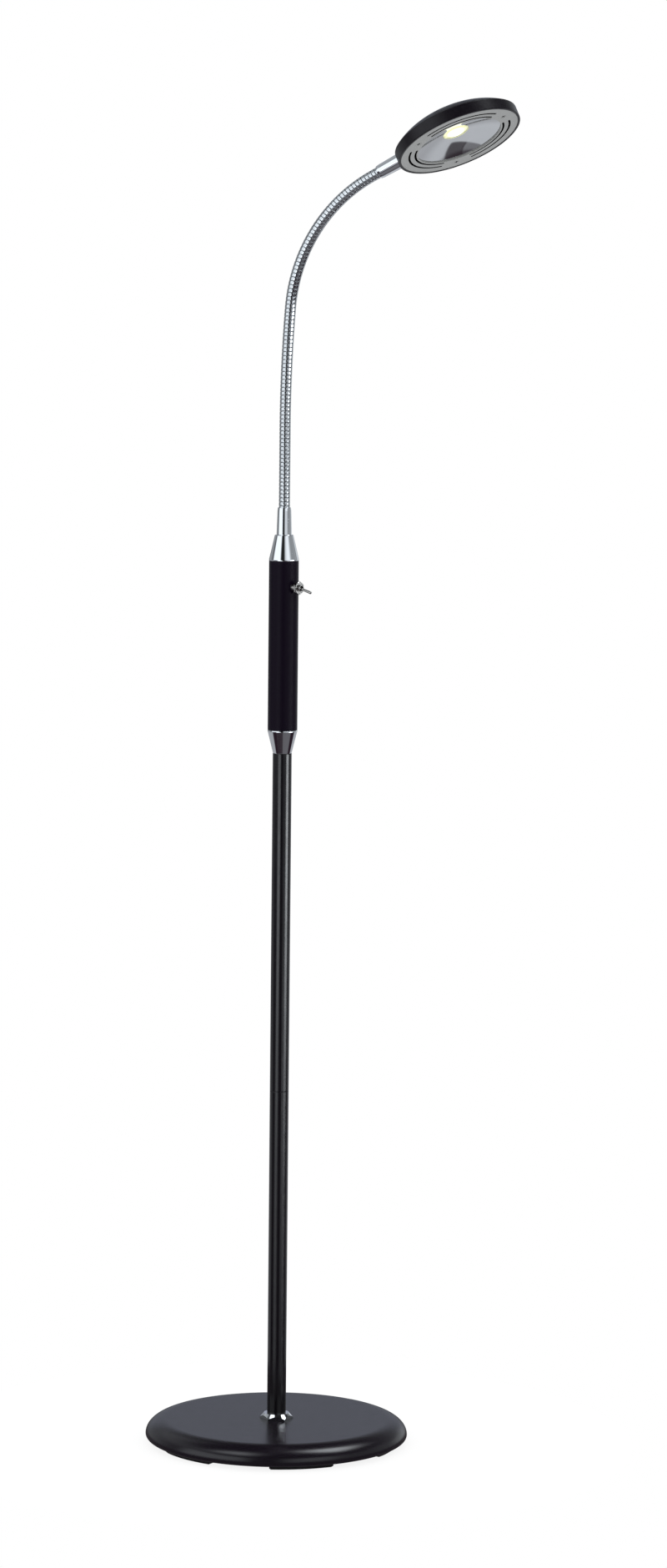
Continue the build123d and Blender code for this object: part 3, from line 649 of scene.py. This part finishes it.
def build_ferrules():
    """Turned end pieces of the neck, one standing on the handle and one in the head's boss."""
    outline = [
        (nipple_bore, 0),
        (ferrule_wide, 0, 0.3),
        (ferrule_waist, ferrule_taper_end, 1.6),
        (ferrule_mouth, ferrule_length, 0.35),
        (ferrule_bore, ferrule_length),
        (ferrule_bore, ferrule_step),
        (nipple_bore, ferrule_step),
    ]
    low = Matrix.Translation((0, 0, ferrule_foot * MM))
    point, across, along = neck_place(neck_length)
    high = frame_of(point + along * ferrule_length, across, -along)
    lower = lathe("lower_ferrule", rounded(outline), chrome, low, 96)
    upper = lathe("upper_ferrule", rounded(outline), chrome, high, 96)
    fit(lower, "stand", "chrome", "neck_lower_ferrule")
    fit(upper, "head", "chrome", "neck_upper_ferrule")


# ---------------------------------------- head
def head_place():
    """Placing matrix of the shell's rim: Z into the shell, X away from the neck."""
    point, across, along = neck_place(neck_length)
    face = across * cos(radians(head_roll)) + Vector((0, -1, 0)) * sin(radians(head_roll))
    return frame_of(point + along * head_reach + face * head_drop, along, -face)


def slot_points(radius, middle, steps=40):
    """Outline of a curved slot with round ends, its middle at an angle in degrees."""
    half = slot_width / 2
    first, last = radians(middle - slot_half_span), radians(middle + slot_half_span)
    sweep = [first + (last - first) * k / steps for k in range(steps + 1)]

    def arc(centre, reach, angles):
        return [(centre[0] + reach * cos(a), centre[1] + reach * sin(a)) for a in angles]

    def cap(angle, begin):
        centre = (radius * cos(angle), radius * sin(angle))
        return arc(centre, half, [begin + pi * k / 8 for k in range(1, 8)])

    outer, inner = arc((0, 0), radius + half, sweep), arc((0, 0), radius - half, sweep[::-1])
    return outer + cap(last, last) + inner + cap(first, first + pi)


def build_bezel(place):
    """Flat ring lacquered on its face, with black walls in its slots and screw holes that paint the
    shade in them.
    """
    middles, screw_spots = (60, 180, 300), ring_points(bezel_screw_circle, 3)
    loops = [ring_points(bezel_radius, 200), ring_points(bezel_opening, 160)]
    loops += [slot_points(radius, middle) for middle in middles for radius in slot_radii]
    loops += [ring_points(bezel_screw_hole, 32, spot) for spot in screw_spots]
    points, edges = [], []
    for loop in loops:
        first, count = len(points), len(loop)
        points += [Vector(point) for point in loop]
        edges += [(first + k, first + (k + 1) % count) for k in range(count)]
    spots, _, faces, *_ = delaunay_2d_cdt(points, edges, [], 0, 1e-6)

    def in_slot(spot, radius, middle):
        turn = Vector((cos(radians(middle)), sin(radians(middle)))).angle_signed(spot)
        end = radians(slot_half_span)
        nearest = radians(middle) - max(-end, min(end, turn))
        return (spot - radius * Vector((cos(nearest), sin(nearest)))).length < slot_width / 2

    def is_metal(face):
        spot = (spots[face[0]] + spots[face[1]] + spots[face[2]]) / 3
        near_screw = any((spot - Vector(hole)).length < bezel_screw_hole for hole in screw_spots)
        if spot.length < bezel_opening or near_screw:
            return False
        return not any(in_slot(spot, radius, middle) for middle in middles for radius in slot_radii)

    form = bmesh.new()
    corners = [form.verts.new((*(spot * MM), bezel_face * MM)) for spot in spots]
    metal = [form.faces.new([corners[k] for k in face]) for face in faces if is_metal(face)]
    lifted = bmesh.ops.extrude_face_region(form, geom=metal, use_keep_orig=True)["geom"]
    raised = [part for part in lifted if isinstance(part, bmesh.types.BMVert)]
    bmesh.ops.translate(form, vec=(0, 0, (bezel_seat - bezel_face) * MM), verts=raised)
    loose = [corner for corner in form.verts if not corner.link_faces]
    bmesh.ops.delete(form, geom=loose, context="VERTS")
    bmesh.ops.recalc_face_normals(form, faces=form.faces)
    # Painted shade: the walls of the slots and screw holes take the black moulding, so that they
    # read dark.
    for face in form.faces:
        reach = face.calc_center_median().xy.length / MM
        inside = bezel_opening + 0.5 < reach < bezel_radius - 0.5
        face.material_index = int(inside and abs(face.normal.z) < 0.5)
    mesh = mesh_from(form, "head_ring", place)
    mesh.materials.append(ring_lacquer)
    mesh.materials.append(shell_plastic)
    fit(mesh_object("head_ring", mesh, None, 40), "head", "bezel_metal", "bezel_plate")


def pattern_tree():
    """Copies of a piece on a circle, each turned with its place."""
    inputs = {"Count": "Int", "Circle radius": "Float", "Start angle": "Float"}
    tree, given = start_tree("circle_of_copies", {**inputs, "Material": "Material"})
    spots = add(tree, "GeometryNodePoints", {"Count": given["Count"]})
    part = {0: add(tree, "GeometryNodeInputIndex"), 1: given["Count"]}
    share = add(tree, "ShaderNodeMath", part, operation="DIVIDE")
    turn = {0: share, 1: 2 * pi, 2: given["Start angle"]}
    angle = add(tree, "ShaderNodeMath", turn, operation="MULTIPLY_ADD")
    outward = add(tree, "ShaderNodeCombineXYZ", {"X": given["Circle radius"]})
    swung = {"Vector": outward, "Angle": angle}
    spot = add(tree, "ShaderNodeVectorRotate", swung, rotation_type="Z_AXIS")
    placed = add(tree, "GeometryNodeSetPosition", {"Geometry": spots, "Position": spot})
    turned = add(tree, "ShaderNodeCombineXYZ", {"Z": angle})
    copied = {"Points": placed, "Instance": given["Geometry"], "Rotation": turned}
    copies = add(tree, "GeometryNodeInstanceOnPoints", copied)
    end_tree(tree, copies, given["Material"])
    return tree


def cross_screw(name, radius, shank, material):
    """Countersunk screw on Z, head down at zero, with a cross recess cut in its head."""
    edge, length, recess_depth = 0.2, 8.0, 0.55
    outline = [(0, 0), (radius, 0, 0.12), (radius, edge), (shank, edge + radius - shank)]
    screw = lathe(name, rounded(outline + [(shank, length), (0, length)]), material, sides=40)
    cutter = bmesh.new()
    arm = Vector((radius * 1.4, radius * 0.38, 2 * recess_depth)) * MM
    for turn in (0, 90):
        bar = bmesh.ops.create_cube(cutter, size=1.0)["verts"]
        bmesh.ops.scale(cutter, vec=arm, verts=bar)
        spin = Matrix.Rotation(radians(turn), 3, "Z")
        bmesh.ops.rotate(cutter, cent=(0, 0, 0), matrix=spin, verts=bar)
    cross = bpy.data.objects.new("cross_cutter", mesh_from(cutter, "cross_cutter"))
    bpy.context.collection.objects.link(cross)
    cut = screw.modifiers.new("cross", "BOOLEAN")
    cut.operation, cut.object, cut.solver, cut.use_self = "DIFFERENCE", cross, "EXACT", True
    mesh = plain_mesh(screw)
    screw.modifiers.clear()
    screw.data = mesh
    bpy.data.objects.remove(cross)
    # Faces down in the cross recess are marked for the painted shade of the screw's material.
    recess_shade = mesh.attributes.new("recess_shade", "FLOAT", "FACE")
    for face in mesh.polygons:
        within = face.center.xy.length < radius * 0.8 * MM
        recess_shade.data[face.index].value = float(within and 0.02 * MM < face.center.z < 1.0 * MM)
    return screw


def circle_of(name, piece, tree, count, radius, start, place):
    """The piece's copies on a circle, as one plain mesh put in place."""
    material = piece.data.materials[0]
    sizes = {"Count": count, "Circle radius": radius * MM, "Start angle": radians(start)}
    mesh = grown(piece, tree, {**sizes, "Material": material})
    mesh.transform(place)
    return mesh_object(name, mesh, material, 30)


def build_head():
    """Moulded shell, flat ring, dish, lit lens and disc, and the screws of ring and base."""
    place = head_place()
    reach, top = shell_radius - crown_radius, shell_band + dome_rise
    bend = (reach**2 + dome_rise**2) / (2 * dome_rise)
    centre = (crown_radius, top - bend)
    begin = degrees(acos(reach / bend))
    inner_bend, inner_side = bend - shell_wall, shell_radius - shell_wall
    inner_begin = degrees(acos((reach - shell_wall) / inner_bend))
    rebate, ledge, ledge_top = bezel_radius + 0.15, bezel_radius - 1.85, bezel_seat + 2.2
    dome = bow(centre, bend, bend, 90, begin, 32)
    edge = [dome[-2], (*dome[-1], 0.7), (shell_radius, 0, 0.5), (rebate, 0, 0.2)]
    outline = [(0, top), (crown_radius * 0.6, top)] + dome[:-2]
    outline += rounded(edge + [(rebate, bezel_seat)], 5)
    outline += [(ledge, bezel_seat), (ledge, ledge_top), (inner_side, ledge_top)]
    outline += bow(centre, inner_bend, inner_bend, inner_begin, 90, 24)
    outline += [(0, top - shell_wall)]
    shell = lathe("head_dome", outline, shell_plastic, place, 192, sharp=25)
    fit(shell, "head", "head_moulding", "head_shell")

    at_rim = Matrix.Translation(((ferrule_sink - shell_radius) * MM, 0, head_drop * MM))
    outline = [
        (boss_mouth, 0),
        (boss_radius, 0, 0.5),
        (boss_radius, boss_length),
        (boss_bore, boss_length),
        (boss_bore, boss_step),
        (boss_mouth, boss_step),
    ]
    boss_place = place @ at_rim @ Matrix.Rotation(pi / 2, 4, "Y")
    boss = lathe("ferrule_boss", rounded(outline), shell_plastic, boss_place, 64)
    fit(boss, "head", "head_moulding")

    build_bezel(place)
    widen, deepen, steps = bezel_opening - throat_radius, bezel_seat - throat_level, 20
    bowl = []
    for share in (k / steps for k in range(steps + 1)):
        bowed = dish_bow * 4 * share * (1 - share)
        bowl.append((throat_radius + widen * share, throat_level + deepen * share + bowed))
    back = [(radius + 0.2, height + dish_wall) for radius, height in reversed(bowl[1:-1])]
    flange = [(bezel_opening + 1.2, bezel_seat), (bezel_opening + 1.2, bezel_seat + 0.9)]
    outline = bowl + flange + back + [(throat_radius, board_face)]
    dish = lathe("lamp_dish", outline, dish_metal, place, 160)
    fit(dish, "head", "reflector_metal", "reflector")

    ball = (lens_radius**2 + lens_height**2) / (2 * lens_height)
    spread = degrees(atan2(lens_radius, ball - lens_height))
    outline = bow((0, emitter_face - lens_height + ball), ball, ball, -90, -90 + spread, 16)
    # Moulded silicone over the phosphor, lit from within: near white, yellower at its edge.
    lens_glow = glowing("lit_silicone_lens", "#fbfaf0", "#e6e8bf", 5.0, 8.6, 0.92, place)
    lens = lathe("light_lens", outline + [(0, emitter_face)], lens_glow, place, 96)
    fit(lens, "head", "lens_glass", "led_lens")
    # Cast phosphor resin round the lens: a warm yellow-green ring of light.
    phosphor = glowing("lit_phosphor", "#eceac6", "#d2d4a4", 8.0, 9.6, 0.72, place)
    outline = [(0, emitter_face), (emitter_radius, emitter_face, 0.3)]
    outline += [(emitter_radius, board_face), (0, board_face)]
    disc = lathe("light_disc", rounded(outline), phosphor, place, 96)
    fit(disc, "head", "phosphor", "led_emitter")
    # White solder mask on the board, with a painted glow as if lit by its neighbour: it fades
    # outwards to a dull yellow.
    painted_glow_board = glowing("painted_glow_solder_mask", "#e4e4c4", "#c0c296", 9.0, 12.8, 0.55, place)
    for node in ("led_board", "board_screws"):
        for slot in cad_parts[node].material_slots:
            slot.material = painted_glow_board

    copies = pattern_tree()
    lacquered = screw_material("lacquered_screw", "#959695", "#9c9d9c", 0.0)
    plated = screw_material("plated_screw", "#a2a4a6", "#b4b5b4", 1.0)
    screw = cross_screw("ring_screw", bezel_screw_radius, bezel_screw_shank, lacquered)
    seat = place @ Matrix.Translation((0, 0, bezel_face * MM))
    screws = circle_of("ring_screws", screw, copies, 3, bezel_screw_circle, 0, seat)
    fit(screws, "head", "steel", "bezel_screws")
    screw = cross_screw("plate_screw", plate_screw_radius, plate_screw_shank, plated)
    seat = Matrix.Translation((0, 0, plate_screw_level * MM))
    screws = circle_of("plate_screws", screw, copies, 4, plate_screw_circle, 45, seat)
    fit(screws, "stand", "steel", "base_plate_screws")


# ---------------------------------------- carried-over solids
def dress_nodes():
    """Gives the CAD's own hidden and plain pieces their finishes."""
    hardware = (
        "base_lock_nut", "base_lock_washer", "pole_stud", "pole_foot_bush", "pole_coupler",
        "pole_top_bush", "handle_nipple", "neck_lower_nipple", "head_nipple", "head_lock_nut",
    )
    finishes = {
        "base_weight": iron,
        "base_bottom_plate": base_coat,
        "base_feet": rubber,
        "lead_gland": nylon,
        "switch_body": phenolic,
        "switch_terminals": brass,
        "heat_sink": sink_metal,
        **dict.fromkeys(hardware, zinc),
    }
    for name, material in finishes.items():
        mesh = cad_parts[name].data
        if not mesh.materials:
            mesh.materials.append(material)
        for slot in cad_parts[name].material_slots:
            slot.material = material


# ---------------------------------------- stage, light and camera
view_azimuth, view_pitch, view_roll = 20.0, 7.0, 0.57
view_distance, view_height, view_side = 5.4667, 1.3009, 0.04862
focal_pixels, frame_height_pixels = 7000.0, 1880.0

# Soft panels of light that mirror-like surfaces see. Each has its sides, in degrees from the
# camera's side of the lamp, its heights in degrees from the horizon, how soft both are, and
# its strength.
studio_panels = (
    # Tall panels left and right of the camera, the right one brighter higher up.
    ((-90, -27), (-5.5, 32), (8, 2), 1.2),
    ((8, 50), (-5.5, 31), (7, 2), 0.72),
    ((22, 60), (8, 31), (9, 6), 0.32),
    # Dim wide ones further round, for the edges of poles and cones.
    ((50, 116), (-10, 28), (10, 5), 0.30),
    ((126, 160), (-10, 16), (8, 6), 0.50),
    ((-150, -96), (-10, 26), (10, 8), 0.12),
    ((-160, -66), (28, 50), (10, 6), 0.36),
    # Bright strips just under the horizon, for the streaks along the black pole.
    ((-46, -15), (-9.2, -5.6), (8, 1.0), 3.0),
    ((-56, -22), (-11.6, -9.2), (9, 1.2), 0.8),
    ((54, 84), (-8.7, -5.9), (9, 1.1), 11.0),
    ((24, 60), (-11.4, -8.7), (10, 1.3), 1.6),
    # Overhead, for the shoulder of the base.
    ((-78, -30), (50, 70), (9, 8), 2.6),
    ((76, 128), (53, 76), (9, 8), 7.2),
    # Low, for the head's dish and the under side of the neck's bow.
    ((-210, -87), (-90, -8), (7, 3), 0.40),
    ((-48, -8), (-30, -11.5), (8, 3), 0.45),
    ((4, 74), (-36, -17), (6, 4), 0.12),
)


def build_floor():
    """White paper under the lamp, which keeps the lamp's soft shadow."""
    form = bmesh.new()
    bmesh.ops.create_circle(form, cap_ends=True, segments=96, radius=floor_reach * MM)
    form.transform(Matrix.Translation((0, 0, (floor_level - 0.02) * MM)))
    mesh = mesh_from(form, "studio_floor")
    paper = bpy.data.materials.new("white_paper_floor")
    paper.use_nodes = True
    tree = paper.node_tree
    tree.nodes.clear()
    place = add(tree, "ShaderNodeTexCoord").outputs["Object"]
    fibres = add(tree, "ShaderNodeTexNoise", {"Vector": place, "Scale": 40.0})
    tones = {0: fibres, 6: colour("#f6f6f6"), 7: colour("#f9f9f9")}
    tone = add(tree, "ShaderNodeMix", tones, data_type="RGBA")
    matt = add(tree, "ShaderNodeBsdfDiffuse", {"Color": tone})
    white = add(tree, "ShaderNodeEmission", {"Color": (1, 1, 1, 1), "Strength": 1.04})
    rays = add(tree, "ShaderNodeLightPath").outputs
    straight = {0: rays["Is Camera Ray"], 1: rays["Is Transmission Ray"]}
    seen = add(tree, "ShaderNodeMath", straight, operation="MAXIMUM")
    share = add(tree, "ShaderNodeMath", {0: seen, 1: 0.84}, operation="MULTIPLY")
    both = add(tree, "ShaderNodeMixShader", {0: share, 1: matt, 2: white})
    dim = add(tree, "ShaderNodeEmission", {"Color": (0.10, 0.09, 0.10, 1)})
    mirrored = add(tree, "ShaderNodeMixShader", {0: rays["Is Glossy Ray"], 1: both, 2: dim})
    add(tree, "ShaderNodeOutputMaterial", {"Surface": mirrored})
    mesh.materials.append(paper)
    ground = bpy.data.objects.new("studio_floor", mesh)
    bpy.context.collection.objects.link(ground)


def build_studio():
    """White to the camera, pale to matt surfaces, and soft panels round mirror-like ones."""
    world = bpy.data.worlds.new("studio")
    bpy.context.scene.world = world
    world.use_nodes = True
    world.cycles.sampling_method = "NONE"
    tree = world.node_tree
    tree.nodes.clear()
    a = radians(view_azimuth)
    ray = add(tree, "ShaderNodeTexCoord").outputs["Generated"]
    across, towards, up = (
        add(tree, "ShaderNodeVectorMath", {0: ray, 1: way}, operation="DOT_PRODUCT")
        for way in ((cos(a), sin(a), 0), (sin(a), -cos(a), 0), (0, 0, 1))
    )
    turn = add(tree, "ShaderNodeMath", {0: across, 1: towards}, operation="ARCTAN2")
    rise = add(tree, "ShaderNodeMath", {0: up}, operation="ARCSINE")
    side, height = (
        add(tree, "ShaderNodeMath", {0: angle, 1: 180 / pi}, operation="MULTIPLY")
        for angle in (turn, rise)
    )

    def panel(sides, heights, soft, strength):
        """A patch of the room between two sides and two heights, with soft edges."""
        area = strength
        for value, ends, margin in ((side, sides, soft[0]), (height, heights, soft[1])):
            low, high = (
                add(
                    tree,
                    "ShaderNodeMapRange",
                    {"Value": value, "From Min": end - margin, "From Max": end + margin},
                    interpolation_type="SMOOTHSTEP",
                )
                for end in ends
            )
            within = add(tree, "ShaderNodeMath", {0: low, 1: high}, operation="SUBTRACT")
            area = add(tree, "ShaderNodeMath", {0: within, 1: area}, operation="MULTIPLY")
        return area

    # What rises or falls softly over the whole room: a value, its two ends and the two levels.
    above, wall, wall_top, backdrop, backdrop_foot, backdrop_top, near_floor = (
        add(
            tree,
            "ShaderNodeMapRange",
            {"Value": value, "From Min": first, "From Max": last, "To Min": start, "To Max": end},
            interpolation_type="SMOOTHSTEP",
        )
        for value, first, last, start, end in (
            (height, -9, -5, 0.0, 1.0),
            (towards, -0.1, -0.6, 0.0, 0.20),
            (height, 24, 44, 1.0, 0.0),
            (towards, -0.84, -0.95, 0.0, 1.0),
            (height, -2, 8, 0.0, 1.0),
            (height, 19, 29, 1.0, 0.0),
            (height, -46, -31, 0.15, 0.0),
        )
    )
    wall_light = {0: wall, 1: wall_top, 2: 0.018}
    wall = add(tree, "ShaderNodeMath", wall_light, operation="MULTIPLY_ADD")
    lit = add(tree, "ShaderNodeMath", {0: wall, 1: above}, operation="MULTIPLY")

    # The floor round the lamp is pale behind on the right, with two patches of it in shade.
    far_right = panel((112, 210), (-90, -8), (5, 3), 0.44)
    floor = add(tree, "ShaderNodeMath", {0: far_right, 1: near_floor}, operation="ADD")
    unshaded = 1.0
    for shade in (
        panel((60, 134), (-65, -52.5), (1.5, 1.0), 0.87),
        panel((60, 134), (-90, -65), (1.5, 1.5), 0.66),
    ):
        unshaded = add(tree, "ShaderNodeMath", {0: unshaded, 1: shade}, operation="SUBTRACT")
    floor = add(tree, "ShaderNodeMath", {0: floor, 1: unshaded}, operation="MULTIPLY")
    for light in (floor, *(panel(*row) for row in studio_panels)):
        lit = add(tree, "ShaderNodeMath", {0: lit, 1: light}, operation="ADD")
    parts = {
        i: add(tree, "ShaderNodeMath", {0: lit, 1: share}, operation="MULTIPLY")
        for i, share in enumerate((0.95, 1.0, 1.04))
    }
    room_colour = add(tree, "ShaderNodeCombineColor", parts)
    for limit in (backdrop_foot, backdrop_top):
        backdrop = add(tree, "ShaderNodeMath", {0: backdrop, 1: limit}, operation="MULTIPLY")
    for share, here, there in (
        (backdrop, (0, 0, 0, 1), (0.142, 0.154, 0.218, 1)),
        (above, (0.024, 0.014, 0.021, 1), (0, 0, 0, 1)),
    ):
        tone = add(tree, "ShaderNodeMix", {0: share, 6: here, 7: there}, data_type="RGBA")
        tones = {0: room_colour, 1: tone}
        room_colour = add(tree, "ShaderNodeVectorMath", tones, operation="ADD")

    gloss, plain, white = (
        add(tree, "ShaderNodeBackground", {"Color": shown})
        for shown in (room_colour, (0.98, 0.99, 1.0, 1), (1, 1, 1, 1))
    )
    rays = add(tree, "ShaderNodeLightPath").outputs
    straight = {0: rays["Is Camera Ray"], 1: rays["Is Transmission Ray"]}
    seen = add(tree, "ShaderNodeMath", straight, operation="MAXIMUM")
    room = add(tree, "ShaderNodeMixShader", {0: rays["Is Glossy Ray"], 1: plain, 2: gloss})
    both = add(tree, "ShaderNodeMixShader", {0: seen, 1: room, 2: white})
    add(tree, "ShaderNodeOutputWorld", {"Surface": both})


def build_camera():
    """The photograph's own view: a long lens a little above the lamp, leaning very slightly."""
    a, p, r = radians(view_azimuth), radians(view_pitch), radians(view_roll)
    right, ahead, up = Vector((cos(a), sin(a), 0)), Vector((-sin(a), cos(a), 0)), Vector((0, 0, 1))
    raised = ahead * sin(p) + up * cos(p)
    back = up * sin(p) - ahead * cos(p)
    leaned_right = right * cos(r) + raised * sin(r)
    leaned_up = raised * cos(r) - right * sin(r)
    spot = right * view_side - ahead * view_distance + up * view_height
    camera = bpy.data.cameras.new("photo_camera")
    camera.sensor_fit, camera.sensor_width, camera.sensor_height = "AUTO", 36.0, 36.0
    camera.lens = focal_pixels / frame_height_pixels * camera.sensor_width
    camera.clip_end = 100.0
    holder = bpy.data.objects.new("photo_camera", camera)
    bpy.context.collection.objects.link(holder)
    turned = Matrix((leaned_right, leaned_up, back)).transposed().to_4x4()
    holder.matrix_world = Matrix.Translation(spot) @ turned
    bpy.context.scene.camera = holder


build_base()
build_pole()
build_handle()
build_switch()
build_neck()
build_ferrules()
build_head()
dress_nodes()
build_floor()
build_studio()
build_camera()
bpy.context.scene.view_settings.view_transform = "Standard"
